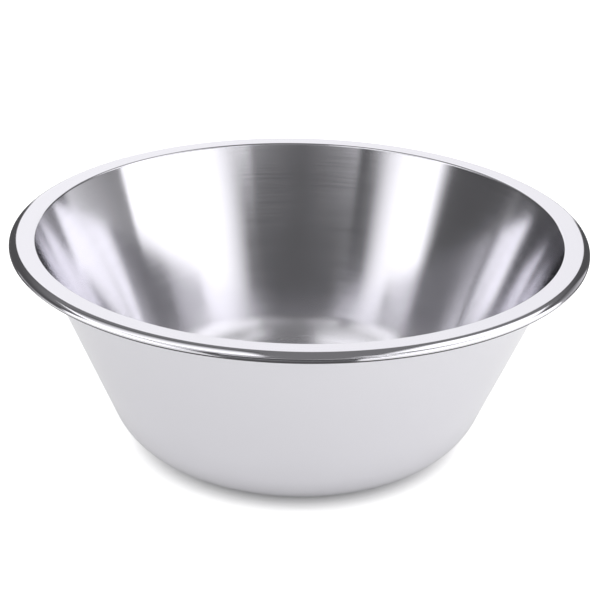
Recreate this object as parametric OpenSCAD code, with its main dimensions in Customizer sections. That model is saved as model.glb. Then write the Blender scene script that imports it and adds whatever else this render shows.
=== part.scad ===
// Mixing bowl pressed from one disc of stainless steel sheet, with its edge rolled over. The outline
// below is the sheet cut through on one side of the bowl's axis, and the bowl is that outline turned
// once round the axis. The origin is on the axis, on the underside of the base, with +Z up.

/* [Bowl] */
// Height from the underside of the base to the top of the rim
bowl_h = 116; // [90:1:160]
// Diameter of the mouth, where the inside of the wall would meet the top of the rim
mouth_d = 274; // [220:1:360]
// Diameter of the flat part of the base
base_d = 132; // [90:1:170]
// Radius of the round corner from the base to the wall, on the outside
corner_r = 36; // [20:1:50]
// Thickness of the sheet
sheet_t = 0.8; // [0.6:0.1:1.2]

/* [Rim] */
// Radius of the bend from the wall to the rim, on its upper side
mouth_bend_r = 1.4; // [1.3:0.1:3]
// Width of the level part of the rim, from the mouth to where it starts to drop
rim_flat_w = 8.3; // [5:0.1:16]
// Radius on which the outer part of the rim drops away, on its upper side
drop_r = 6.5; // [4:0.1:10]
// Angle through which the outer part of the rim drops
drop_angle = 38; // [20:1:60]
// Outer radius of the rolled edge
curl_r = 1.8; // [1.6:0.1:3]
// Angle through which the edge is rolled on under the rim, past its lowest point
curl_angle = 120; // [0:5:150]

/* [Hidden] */

// Largest angle between two points of an arc, in degrees.
arc_step = 4;

mouth_r = mouth_d / 2;
base_r = base_d / 2;

// The inside of the wall passes through the mouth's edge and touches the inside of the base corner,
// which sets how far the wall leans out from upright.
corner_inner_r = corner_r - sheet_t;
corner_to_mouth = [mouth_r - base_r, bowl_h - corner_r];
wall_lean = acos(corner_inner_r / norm(corner_to_mouth)) - atan2(corner_to_mouth.y, corner_to_mouth.x);

// Centres that the sheet is bent round, as [distance from the axis, height].
corner_centre = [base_r, corner_r];
bend_setback = mouth_bend_r * tan((90 - wall_lean) / 2);
bend_centre = [mouth_r + bend_setback, bowl_h - mouth_bend_r];
drop_centre = [mouth_r + rim_flat_w, bowl_h - drop_r];
curl_centre = drop_centre + (drop_r - curl_r) * [sin(drop_angle), cos(drop_angle)];

// Points of an arc, turning from one direction to another round a centre.
function arc(centre, r, from, to) =
    let (steps = ceil(abs(to - from) / arc_step))
    [for (i = [0 : steps]) let (a = from + (to - from) * i / steps) centre + r * [cos(a), sin(a)]];

// One face of the sheet, from the axis to the rolled edge. The height is how far up through the sheet
// the face lies: 0 is the face that the bowl stands on, and sheet_t is the one that holds the food.
function sheet_face(height) = concat(
    [[0, height]],
    arc(corner_centre, corner_r - height, -90, -wall_lean),
    arc(bend_centre, mouth_bend_r - sheet_t + height, 180 - wall_lean, 90),
    arc(drop_centre, drop_r - sheet_t + height, 90, 90 - drop_angle),
    arc(curl_centre, curl_r - sheet_t + height, 90 - drop_angle, -90 - curl_angle));

function reversed(points) = [for (i = [len(points) - 1 : -1 : 0]) points[i]];

// The whole bowl in one sheet: base, base corner, wall, level rim and rolled edge.
module bowl() {
    color("gainsboro") rotate_extrude($fn = 180)
        polygon(concat(sheet_face(0), reversed(sheet_face(sheet_t))));
}

bowl();
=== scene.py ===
"""A stainless steel mixing bowl on a white table, in soft studio light.

The bowl is turned on a lathe in code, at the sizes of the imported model, with exact normals, so that
the steel mirrors the studio cleanly. Lengths are in metres and angles in degrees unless a name says
otherwise.
"""

from math import acos, atan2, ceil, cos, degrees, hypot, pi, radians, sin, tan

import bpy
from mathutils import Matrix, Vector


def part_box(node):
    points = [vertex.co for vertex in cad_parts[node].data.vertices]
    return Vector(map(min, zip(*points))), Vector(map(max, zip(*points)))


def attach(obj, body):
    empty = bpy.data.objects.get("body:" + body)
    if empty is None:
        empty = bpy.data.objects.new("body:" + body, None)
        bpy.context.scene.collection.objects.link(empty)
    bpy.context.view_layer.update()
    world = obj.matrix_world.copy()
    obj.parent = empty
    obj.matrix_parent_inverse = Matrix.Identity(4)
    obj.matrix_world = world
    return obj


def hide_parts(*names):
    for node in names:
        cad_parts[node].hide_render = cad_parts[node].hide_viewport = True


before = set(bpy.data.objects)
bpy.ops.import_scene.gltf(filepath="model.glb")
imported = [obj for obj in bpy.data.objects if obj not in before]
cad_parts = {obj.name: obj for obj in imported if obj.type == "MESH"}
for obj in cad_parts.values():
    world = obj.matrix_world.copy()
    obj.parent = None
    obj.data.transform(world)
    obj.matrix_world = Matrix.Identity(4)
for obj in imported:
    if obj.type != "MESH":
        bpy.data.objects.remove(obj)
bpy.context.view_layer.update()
scene = bpy.context.scene
scene.view_settings.view_transform = "Standard"

# Radius of the flat of the base, and of the round corner from it to the wall, on the outside.
BASE_R = 0.066
CORNER_R = 0.036
# Thickness of the sheet.
SHEET = 0.0008
# Radius of the bend from the wall to the rim, and width of the level part of the rim.
MOUTH_BEND_R = 0.0014
RIM_FLAT_W = 0.0083
# Radius on which the outer part of the rim drops away, and the angle through which it drops.
DROP_R = 0.0065
DROP_ANGLE = 38
# Outer radius of the rolled edge, and how far it rolls on under the rim, past its lowest point.
CURL_R = 0.0018
CURL_ANGLE = 120
# How far below level the polished rim goes round the rolled edge; past it, the underside is coloured dark
# as painted shade.
TUCK_ANGLE = 15
# The bowl's height and outer radius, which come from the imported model, and the radius of its mouth.
box_low, box_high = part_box("bowl")
BOWL_H = box_high.z - box_low.z
RIM_R = (box_high.x - box_low.x) / 2
MOUTH_R = RIM_R - CURL_R - (DROP_R - CURL_R) * sin(radians(DROP_ANGLE)) - RIM_FLAT_W

# How finely the bowl is turned: its segments, how far a flat between two points of an arc may lie
# inside the arc, and the longest step along a straight line.
SEGMENTS = 288
ARC_SAG = 0.000005
STRAIGHT_STEP = 0.02


# ---------------------------------------------------------------------------------------------
# Camera
# ---------------------------------------------------------------------------------------------

def make_camera():
    """A long lens from the front, looking down into the bowl, rolled a little."""
    distance = 0.891
    height_angle = radians(21.846)
    tilt = radians(24.216)
    pan = radians(0.056)
    roll = radians(-1.229)
    data = bpy.data.cameras.new("camera")
    data.sensor_width = 36
    data.lens = 102.5
    data.clip_start = 0.01
    data.clip_end = 100
    camera = bpy.data.objects.new("camera", data)
    scene.collection.objects.link(camera)
    forward = Vector((sin(pan) * cos(tilt), cos(pan) * cos(tilt), -sin(tilt)))
    level = Vector((cos(pan), -sin(pan), 0))
    down = forward.cross(level)
    right = cos(roll) * level + sin(roll) * down
    up = sin(roll) * level - cos(roll) * down
    place = Vector((0, -cos(height_angle), sin(height_angle))) * distance + Vector((0, 0, BOWL_H))
    axes = Matrix((right, up, -forward)).transposed()
    camera.matrix_world = Matrix.Translation(place) @ axes.to_4x4()
    scene.camera = camera


# ---------------------------------------------------------------------------------------------
# Bowl mesh
# ---------------------------------------------------------------------------------------------

def arc(centre, radius, start, end):
    """Points of an arc with the direction that each lies in, as ((r, z), (nr, nz))."""
    steps = ceil(radians(abs(end - start)) / (2 * acos(1 - ARC_SAG / radius)))
    points = []
    for i in range(steps + 1):
        a = radians(start + (end - start) * i / steps)
        points.append(((centre[0] + radius * cos(a), centre[1] + radius * sin(a)), (cos(a), sin(a))))
    return points


def straight(start, end, normal):
    """Points along a straight line, all with one normal."""
    steps = ceil(hypot(end[0] - start[0], end[1] - start[1]) / STRAIGHT_STEP)
    points = []
    for i in range(steps + 1):
        t = i / steps
        points.append(((start[0] + (end[0] - start[0]) * t, start[1] + (end[1] - start[1]) * t), normal))
    return points


def flipped(points):
    """The same points, with their normals turned round."""
    return [(place, (-normal[0], -normal[1])) for place, normal in points]


def sheet_face(height):
    """One face of the sheet from the axis to the rolled edge, as the looks along it with their points.
    Height 0 is the face that the bowl stands on, and SHEET is the one that holds the food."""
    centre_to_mouth = (MOUTH_R - BASE_R, BOWL_H - CORNER_R)
    lean = degrees(acos((CORNER_R - SHEET) / hypot(*centre_to_mouth)))
    lean -= degrees(atan2(centre_to_mouth[1], centre_to_mouth[0]))
    setback = MOUTH_BEND_R * tan(radians(90 - lean) / 2)
    bend_centre = (MOUTH_R + setback, BOWL_H - MOUTH_BEND_R)
    drop_centre = (MOUTH_R + RIM_FLAT_W, BOWL_H - DROP_R)
    reach = DROP_R - CURL_R
    drop = radians(DROP_ANGLE)
    curl_centre = (drop_centre[0] + reach * sin(drop), drop_centre[1] + reach * cos(drop))
    corner = flipped(arc((BASE_R, CORNER_R), CORNER_R - height, -90, -lean))
    bend = arc(bend_centre, MOUTH_BEND_R - SHEET + height, 180 - lean, 90)
    falling = arc(drop_centre, DROP_R - SHEET + height, 90, 90 - DROP_ANGLE)
    curl_r = CURL_R - SHEET + height
    curl = arc(curl_centre, curl_r, 90 - DROP_ANGLE, -TUCK_ANGLE)
    tucked = arc(curl_centre, curl_r, -TUCK_ANGLE, -90 - CURL_ANGLE)
    upper = [
        ("inside", straight((0, height), corner[0][0], (0, 1))),
        ("inside", corner),
        ("inside", straight(corner[-1][0], bend[0][0], corner[-1][1])),
        ("rim", bend),
        ("rim", straight(bend[-1][0], falling[0][0], (0, 1))),
        ("rim", falling),
        ("rim", curl),
        ("tucked", tucked),
    ]
    if height > 0:
        return upper
    return [("outside" if zone == "inside" else zone, flipped(points)) for zone, points in upper]


def outline():
    """The closed section of the sheet, from the axis under the base, out, round and back above it."""
    under = sheet_face(0)
    over = sheet_face(SHEET)
    curl_end = radians(-90 - CURL_ANGLE)
    onward = (sin(curl_end), -cos(curl_end))
    edge = [(points[-1][0], onward) for _, points in (under[-1], over[-1])]
    back = [(zone, points[::-1]) for zone, points in reversed(over)]
    return under + [("tucked", edge)] + back


def turn_bowl(materials):
    """Turns the outline once round the axis. In its UVs, U runs along the outline and V round the bowl."""
    zones = list(materials)
    verts = []
    faces = []
    normals = []
    uvs = []
    face_zones = []
    rings = {}

    def ring(point):
        """Vertex indices of the ring through a point of the outline, or one index on the axis."""
        key = (round(point[0], 8), round(point[1], 8))
        if key not in rings:
            first = len(verts)
            if key[0] == 0:
                verts.append((0, 0, point[1]))
                rings[key] = [first] * SEGMENTS
            else:
                for j in range(SEGMENTS):
                    a = 2 * pi * j / SEGMENTS
                    verts.append((point[0] * cos(a), point[0] * sin(a), point[1]))
                rings[key] = list(range(first, first + SEGMENTS))
        return rings[key]

    travelled = 0
    for zone, points in outline():
        for (p0, n0), (p1, n1) in zip(points, points[1:]):
            ring0 = ring(p0)
            ring1 = ring(p1)
            u0 = travelled
            u1 = travelled + hypot(p1[0] - p0[0], p1[1] - p0[1])
            travelled = u1
            for j in range(SEGMENTS):
                k = (j + 1) % SEGMENTS
                corners = [(ring0[j], n0, j, u0), (ring0[k], n0, j + 1, u0),
                           (ring1[k], n1, j + 1, u1), (ring1[j], n1, j, u1)]
                if corners[0][0] == corners[1][0]:
                    corners.pop(1)
                elif corners[2][0] == corners[3][0]:
                    corners.pop(2)
                faces.append([c[0] for c in corners])
                face_zones.append(zones.index(zone))
                for _, n, turn, u in corners:
                    a = 2 * pi * turn / SEGMENTS
                    normals.append((n[0] * cos(a), n[0] * sin(a), n[1]))
                    uvs.append((u, turn / SEGMENTS))

    mesh = bpy.data.meshes.new("bowl_steel")
    mesh.from_pydata(verts, [], faces)
    for name in zones:
        mesh.materials.append(materials[name])
    mesh.polygons.foreach_set("material_index", face_zones)
    mesh.polygons.foreach_set("use_smooth", [True] * len(faces))
    layer = mesh.uv_layers.new(name="along_and_round")
    layer.data.foreach_set("uv", [part for u, v in uvs for part in (u / travelled, v)])
    mesh.normals_split_custom_set(normals)
    mesh.update()
    bowl = bpy.data.objects.new("bowl_steel", mesh)
    scene.collection.objects.link(bowl)
    return bowl


# ---------------------------------------------------------------------------------------------
# Steel
# ---------------------------------------------------------------------------------------------

class Nodes:
    """Short calls for building a node tree."""

    def __init__(self, tree):
        self.tree = tree

    def add(self, kind, **settings):
        node = self.tree.nodes.new(kind)
        for name, value in settings.items():
            setattr(node, name, value)
        return node

    def link(self, source, target):
        self.tree.links.new(source, target)

    def put(self, target, value):
        if isinstance(value, bpy.types.NodeSocket):
            self.link(value, target)
        else:
            target.default_value = value

    def maths(self, operation, first, second):
        node = self.add("ShaderNodeMath", operation=operation)
        self.put(node.inputs[0], first)
        self.put(node.inputs[1], second)
        return node.outputs[0]

    def remap(self, value, low, high, to_low, to_high, smooth=False):
        node = self.add("ShaderNodeMapRange")
        if smooth:
            node.interpolation_type = "SMOOTHSTEP"
        self.put(node.inputs["Value"], value)
        node.inputs["From Min"].default_value = low
        node.inputs["From Max"].default_value = high
        node.inputs["To Min"].default_value = to_low
        node.inputs["To Max"].default_value = to_high
        return node.outputs["Result"]

    def place(self):
        """Where a point lies from the origin of its piece, as outputs named X, Y and Z."""
        split = self.add("ShaderNodeSeparateXYZ")
        self.link(self.add("ShaderNodeTexCoord").outputs["Object"], split.inputs[0])
        return split.outputs

    def emission(self, colour, strength):
        node = self.add("ShaderNodeEmission")
        node.inputs["Color"].default_value = (*colour, 1)
        self.link(strength, node.inputs["Strength"])
        return node

    def to_surface(self, shader):
        output = self.add("ShaderNodeOutputMaterial")
        self.link(shader.outputs[0], output.inputs["Surface"])


# Noise holds its values between about these two.
NOISE_LOW = 0.35
NOISE_HIGH = 0.65
# Size of the soft patches in the steel, and the share of its colour that the darkest of them keep.
PATCH_SIZE = 0.05
PATCH_TONE = 0.985
# How fast the lines in the steel change on the way round the bowl, and how many layers they have.
LINE_DRIFT = 2
LINE_DETAIL = 3


def new_material(name):
    """An empty material, with its nodes."""
    material = bpy.data.materials.new(name)
    material.use_nodes = True
    material.node_tree.nodes.clear()
    return material, Nodes(material.node_tree)


def round_noise(n, line_width):
    """Noise in lines of this width that run round the bowl's axis, as brushing and turning leave them."""
    place = n.place()
    flat = n.add("ShaderNodeCombineXYZ")
    n.link(place["X"], flat.inputs["X"])
    n.link(place["Y"], flat.inputs["Y"])
    radius = n.add("ShaderNodeVectorMath", operation="LENGTH")
    n.link(flat.outputs[0], radius.inputs[0])
    heading = n.add("ShaderNodeVectorMath", operation="NORMALIZE")
    n.link(flat.outputs[0], heading.inputs[0])
    turn = n.add("ShaderNodeSeparateXYZ")
    n.link(heading.outputs[0], turn.inputs[0])
    vector = n.add("ShaderNodeCombineXYZ")
    n.link(n.maths("MULTIPLY", radius.outputs["Value"], 1 / line_width), vector.inputs["X"])
    n.link(n.maths("MULTIPLY", place["Z"], 1 / line_width), vector.inputs["Y"])
    n.link(n.maths("MULTIPLY", turn.outputs["X"], LINE_DRIFT), vector.inputs["Z"])
    noise = n.add("ShaderNodeTexNoise", noise_dimensions="4D")
    n.link(vector.outputs[0], noise.inputs["Vector"])
    n.link(n.maths("MULTIPLY", turn.outputs["Y"], LINE_DRIFT), noise.inputs["W"])
    noise.inputs["Scale"].default_value = 1
    noise.inputs["Detail"].default_value = LINE_DETAIL
    return noise.outputs["Fac"]


def patch_noise(n):
    """Noise in soft patches, as handling and polishing leave them."""
    noise = n.add("ShaderNodeTexNoise")
    n.link(n.add("ShaderNodeTexCoord").outputs["Object"], noise.inputs["Vector"])
    noise.inputs["Scale"].default_value = 1 / PATCH_SIZE
    noise.inputs["Detail"].default_value = 2
    return noise.outputs["Fac"]


def in_base_corner(n):
    """1 on the rounded corner between the base and the wall, and 0 elsewhere."""
    fade = 0.003
    height = n.place()["Z"]
    above_base = n.remap(height, SHEET, SHEET + fade, 0, 1, smooth=True)
    below_wall = n.remap(height, CORNER_R / 3, CORNER_R, 1, 0, smooth=True)
    return n.maths("MULTIPLY", above_base, below_wall)


def steel(name, colour, rough, rough_change, anisotropy, line_width, line_depth, corner_rough=0):
    """Stainless steel. rough is the middle of the roughness, which lines and patches change by
    rough_change; line_width and line_depth are those of the fine lines that run round the bowl.
    corner_rough is how much rougher the base corner is, where the press stretched the sheet."""
    material, n = new_material(name)
    shader = n.add("ShaderNodeBsdfPrincipled")
    n.to_surface(shader)
    shader.inputs["Metallic"].default_value = 1
    lines = round_noise(n, line_width)
    patches = patch_noise(n)
    average = n.maths("MULTIPLY", n.maths("ADD", lines, patches), 0.5)
    roughness = n.remap(average, NOISE_LOW, NOISE_HIGH, rough - rough_change, rough + rough_change)
    if corner_rough:
        roughness = n.maths("ADD", roughness, n.maths("MULTIPLY", in_base_corner(n), corner_rough))
    n.link(roughness, shader.inputs["Roughness"])
    tone = n.add("ShaderNodeMix", data_type="RGBA")
    n.link(patches, tone.inputs["Factor"])
    tone.inputs["A"].default_value = (*[c * PATCH_TONE for c in colour], 1)
    tone.inputs["B"].default_value = (*colour, 1)
    n.link(tone.outputs["Result"], shader.inputs["Base Color"])
    bump = n.add("ShaderNodeBump")
    bump.inputs["Strength"].default_value = 1
    bump.inputs["Distance"].default_value = line_depth
    n.link(lines, bump.inputs["Height"])
    n.link(bump.outputs["Normal"], shader.inputs["Normal"])
    if anisotropy:
        shader.inputs["Anisotropic"].default_value = anisotropy
        tangent = n.add("ShaderNodeTangent", direction_type="UV_MAP", uv_map="along_and_round")
        n.link(tangent.outputs[0], shader.inputs["Tangent"])
    return material


def make_bowl():
    polished = (0.828, 0.82, 0.858)
    # The next colour is painted shade: nearly black, it stands in for the shadowed gap under the rolled
    # edge, not for a duller finish of the steel.
    painted_shade_dark = (0.1, 0.098, 0.104)
    bowl = turn_bowl({
        "outside": steel("bright_outside", polished, rough=0.15, rough_change=0.03, anisotropy=0.3,
                         line_width=0.0012, line_depth=0.000002),
        "rim": steel("polished_rim", polished, rough=0.1, rough_change=0.02, anisotropy=0,
                     line_width=0.0010, line_depth=0.000001),
        # The underside of the rolled edge and the cut edge of the sheet get the painted shade colour.
        "tucked": steel("painted_shade_under_curl", painted_shade_dark, rough=0.4, rough_change=0.05, anisotropy=0,
                        line_width=0.0010, line_depth=0.000004),
        "inside": steel("satin_inside", polished, rough=0.145, rough_change=0.02, anisotropy=0.75,
                        line_width=0.0009, line_depth=0.000007, corner_rough=0.12),
    })
    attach(bowl, "root")
    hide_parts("bowl")


# ---------------------------------------------------------------------------------------------
# Studio
# ---------------------------------------------------------------------------------------------

WHITE = (1, 1, 1)
# Strength of the plain light that falls on surfaces.
SURFACE_LIGHT = 0.85
# Glow of the dark of the studio, and the colour of all its cards.
DARK = 0.09
CARD_COLOUR = (0.985, 0.98, 1.0)
# Height of the cards overhead, and of those that lie on the table.
OVERHEAD_Z = 0.9
ON_TABLE_Z = 0.002


def seen_directly(n):
    """1 where the camera, a mirror or glass looks, and 0 for the light that falls on surfaces."""
    path = n.add("ShaderNodeLightPath")
    seen = n.maths("MAXIMUM", path.outputs["Is Camera Ray"], path.outputs["Is Glossy Ray"])
    return n.maths("MAXIMUM", seen, path.outputs["Is Transmission Ray"])


def make_world():
    """White to look at, and a plain soft light on surfaces."""
    world = bpy.data.worlds.new("world")
    world.use_nodes = True
    world.node_tree.nodes.clear()
    scene.world = world
    n = Nodes(world.node_tree)
    background = n.add("ShaderNodeBackground")
    background.inputs["Color"].default_value = (*WHITE, 1)
    n.link(n.remap(seen_directly(n), 0, 1, SURFACE_LIGHT, 1), background.inputs["Strength"])
    output = n.add("ShaderNodeOutputWorld")
    n.link(background.outputs[0], output.inputs["Surface"])


def stage_mesh(name, verts, faces, material, uvs=None):
    """A piece of the studio, which isn't part of the bowl."""
    mesh = bpy.data.meshes.new(name)
    mesh.from_pydata(verts, [], faces)
    mesh.materials.append(material)
    if uvs:
        layer = mesh.uv_layers.new(name="card")
        layer.data.foreach_set("uv", [x for uv in uvs for x in uv])
    piece = bpy.data.objects.new(name, mesh)
    scene.collection.objects.link(piece)
    return piece


def open_share(n, distance):
    """0 deep in a crevice of about this size, and 1 out in the open. The table multiplies its glow by it,
    which paints shade into crevices.
    """
    fully_open = 0.6
    opening = n.add("ShaderNodeAmbientOcclusion", samples=8)
    opening.inputs["Distance"].default_value = distance
    return n.remap(opening.outputs["AO"], 0, fully_open, 0, 1)


def make_floor():
    """A pale table. What looks at it directly also sees it glow a little: painted light makes the glow
    stronger on the right, and painted shade takes it away in crevices. The camera sees it glow some more,
    less in the tightest crevices, which paints a contact shadow."""
    grey = 0.65
    # The glow rises from left to right: painted light that stands in for light falling off towards the
    # left.
    left_glow = 0.30
    right_glow = 0.46
    glow_reach = 0.25
    # Distances over which the glow fades in crevices: painted shade, and for the camera a painted contact
    # shadow at the base.
    glow_crevice = 0.05
    camera_glow = 0.5
    camera_crevice = 0.012
    half = 6
    material, n = new_material("table_white")
    diffuse = n.add("ShaderNodeBsdfDiffuse")
    diffuse.inputs["Color"].default_value = (grey, grey, grey, 1)
    level = n.remap(n.place()["X"], -glow_reach, glow_reach, left_glow, right_glow)
    seen = n.maths("MULTIPLY", seen_directly(n), level)
    # Painted shade: the glow fades in crevices near the bowl.
    seen = n.maths("MULTIPLY", seen, open_share(n, glow_crevice))
    camera = n.maths("MULTIPLY", n.add("ShaderNodeLightPath").outputs["Is Camera Ray"], camera_glow)
    # Painted contact shadow: the camera's glow fades in the tightest crevices.
    camera = n.maths("MULTIPLY", camera, open_share(n, camera_crevice))
    glow = n.emission(WHITE, n.maths("ADD", seen, camera))
    both = n.add("ShaderNodeAddShader")
    n.link(diffuse.outputs[0], both.inputs[0])
    n.link(glow.outputs[0], both.inputs[1])
    n.to_surface(both)
    stage_mesh("table", [(-half, -half, 0), (half, -half, 0), (half, half, 0), (-half, half, 0)],
               [(0, 1, 2, 3)], material)


def glow_material(name, glow, feather):
    """A card whose glow goes from glow[0] at its start to glow[1] at its end, and fades to DARK over
    feather, which is a share of its width or height at each edge: start, end, bottom, top."""
    material, n = new_material(name)
    spot = n.add("ShaderNodeUVMap", uv_map="card")
    split = n.add("ShaderNodeSeparateXYZ")
    n.link(spot.outputs[0], split.inputs[0])
    mask = 1.0
    for axis, width, flipped in (("X", feather[0], False), ("X", feather[1], True),
                                 ("Y", feather[2], False), ("Y", feather[3], True)):
        if width:
            value = split.outputs[axis]
            if flipped:
                value = n.maths("SUBTRACT", 1, value)
            mask = n.maths("MULTIPLY", n.remap(value, 0, width, 0, 1, smooth=True), mask)
    full = n.remap(split.outputs["X"], 0, 1, glow[0] - DARK, glow[1] - DARK)
    strength = n.maths("ADD", n.maths("MULTIPLY", full, mask), DARK)
    n.to_surface(n.emission(CARD_COLOUR, strength))
    return material


def only_in_reflections(piece):
    """Keeps a piece out of sight, and out of the plain light that falls on surfaces."""
    piece.visible_camera = False
    piece.visible_diffuse = False
    piece.visible_shadow = False


def card(name, corners, glow, feather):
    """A glowing card between four corners: bottom start, bottom end, top end and top start."""
    across = 16
    up = 8
    low_start, low_end, high_end, high_start = [Vector(c) for c in corners]
    verts = []
    for j in range(up + 1):
        left = low_start.lerp(high_start, j / up)
        right = low_end.lerp(high_end, j / up)
        verts += [left.lerp(right, i / across) for i in range(across + 1)]
    faces = []
    uvs = []
    for j in range(up):
        for i in range(across):
            spots = [(i, j), (i + 1, j), (i + 1, j + 1), (i, j + 1)]
            faces.append([y * (across + 1) + x for x, y in spots])
            uvs += [(x / across, y / up) for x, y in spots]
    only_in_reflections(stage_mesh(name, verts, faces, glow_material(name, glow, feather), uvs))


def upright_card(name, start, end, start_z, end_z, glow, feather):
    """A card that stands on the line from start to end, between two heights at each."""
    corners = [(*start, start_z[0]), (*end, end_z[0]), (*end, end_z[1]), (*start, start_z[1])]
    card(name, corners, glow, feather)


def level_card(name, z, corners, glow, feather=(0, 0, 0, 0)):
    """A level card at one height: near start, near end, far end and far start."""
    card(name, [(x, y, z) for x, y in corners], glow, feather)


def make_room():
    """The dark of the studio round the bowl, a little lighter above. It shows only in the steel."""
    radius = 2.6
    bottom = -0.01
    top = 3.0
    sides = 48
    lighter_from = 1.2
    lightest_from = 2.2
    lightest = 0.2
    verts = [(radius * cos(2 * pi * i / sides), radius * sin(2 * pi * i / sides), z)
             for z in (bottom, top) for i in range(sides)]
    faces = [(i, (i + 1) % sides, sides + (i + 1) % sides, sides + i) for i in range(sides)]
    faces.append(tuple(range(sides, 2 * sides)))
    material, n = new_material("room")
    strength = n.remap(n.place()["Z"], lighter_from, lightest_from, DARK, lightest, smooth=True)
    n.to_surface(n.emission(CARD_COLOUR, strength))
    only_in_reflections(stage_mesh("room", verts, faces, material))


def make_side_lights():
    """Tall softboxes on both sides. Each is in tiers, which reach round to the front by different
    amounts, with a dimmer wing that goes on behind the bowl."""
    bright = (1.55, 1.55)
    # Heights that the tiers span, at the start beside the bowl and at the end in front of it.
    low = ((0, 0.19), (0, 0.40))
    middle = ((0.19, 0.36), (0.40, 1.0))
    right = (0.502, 0.088)
    upright_card("right_low", right, (0.68, -1.75), *low, bright, (0, 0.1, 0, 0))
    upright_card("right_middle", right, (0.92, -1.75), *middle, bright, (0, 0.75, 0, 0))
    upright_card("right_high", right, (0.72, -1.75), (0.36, 0.42), (1.0, 1.5), (1.8, 1.6),
                 (0, 0.4, 0, 0.15))
    upright_card("right_behind", right, (0.8, 0.8), (0, 0.45), (0, 0.7), (0.35, 0.8), (0, 0.3, 0, 0.7))
    left = (-0.467, -0.045)
    upright_card("left_low", left, (-0.9, -1.5), *low, bright, (0.03, 0.6, 0, 0))
    upright_card("left_middle", left, (-1.1, -1.5), *middle, bright, (0.08, 0.9, 0, 0))
    upright_card("left_high", left, (-0.95, -1.5), (0.36, 0.42), (1.0, 1.4), bright, (0, 0.7, 0, 0.15))
    upright_card("left_behind", left, (-0.75, 0.5), (0, 0.14), (0, 0.3), (0.2, 0.6), (0, 0.3, 0, 0.5))


def make_top_lights():
    """Softboxes overhead, with the shoulders that join them to the ones at the sides and dimmer slopes
    that go on towards the front."""
    bright = (1.45, 1.45)
    z = OVERHEAD_Z
    card("shoulder_right", [(0.502, 0.088, 0.42), (0.52, 0.0, 0.47), (0.75, -0.1, z), (0.8, 0.75, z)],
         bright, (0, 0.1, 0, 0))
    card("shoulder_left", [(-0.467, -0.067, 0.42), (-0.49, -0.14, 0.46), (-0.75, -0.2, z), (-0.8, 0.6, z)],
         bright, (0, 0.1, 0, 0))
    level_card("top_right", z, [(0.25, -0.25), (0.75, -0.15), (0.8, 0.75), (0.25, 0.36)],
               bright, (0.2, 0, 0.08, 0.2))
    level_card("top_left", z, [(-0.09, -0.36), (-0.75, -0.25), (-0.8, 0.62), (-0.09, 0.30)],
               bright, (0.08, 0, 0.05, 0.85))
    level_card("slope_right", z, [(0.2, -0.27), (0.42, -0.22), (0.45, -0.65), (0.2, -0.55)],
               (0.4, 1.7), (0.1, 0.1, 0, 0.3))
    level_card("slope_left", z, [(-0.10, -0.36), (-0.7, -0.26), (-0.6, -0.85), (-0.15, -0.75)],
               (0.6, 0.9), (0.1, 0.1, 0, 0.3))


def make_front_and_back_lights():
    """A dim band high in front, and the light behind that the flat of the rim mirrors."""
    front = -1.6
    high = (1.0, 1.5)
    upright_card("front_right", (0, front), (0.9, front), high, high, (0.35, 1.1), (0, 0, 0.3, 0.3))
    upright_card("front_left", (0, front), (-0.9, front), high, high, (0.35, 1.5), (0, 0, 0.3, 0.3))
    back = 1.1
    back_z = (0, 1.15)
    upright_card("back_light", (-0.50, back), (0.54, back), back_z, back_z, (1.07, 1.01),
                 (0.05, 0.05, 0, 0.3))


def make_table_darks():
    """Dark cards on the table, out of sight, in front of the bowl and behind it on both sides."""
    z = ON_TABLE_Z
    level_card("dark_near", z, [(-0.07, -0.2), (0.06, -0.2), (0.17, -0.5), (-0.28, -0.5)], (0.14, 0.12))
    level_card("dark_front", z, [(-0.28, -0.5), (0.17, -0.5), (1.0, -2.4), (-1.6, -2.4)], (0.3, 0.13))
    level_card("dark_back_left", z, [(-0.34, 0.0), (-0.12, 0.22), (-0.4, 2.4), (-2.4, 1.6)],
               (0.13, 0.13))
    level_card("dark_back_right", z, [(0.36, 0.03), (0.12, 0.22), (0.4, 2.4), (2.4, 1.6)],
               (0.13, 0.13))


def make_studio():
    make_world()
    make_floor()
    make_room()
    make_side_lights()
    make_top_lights()
    make_front_and_back_lights()
    make_table_darks()


make_camera()
make_bowl()
make_studio()
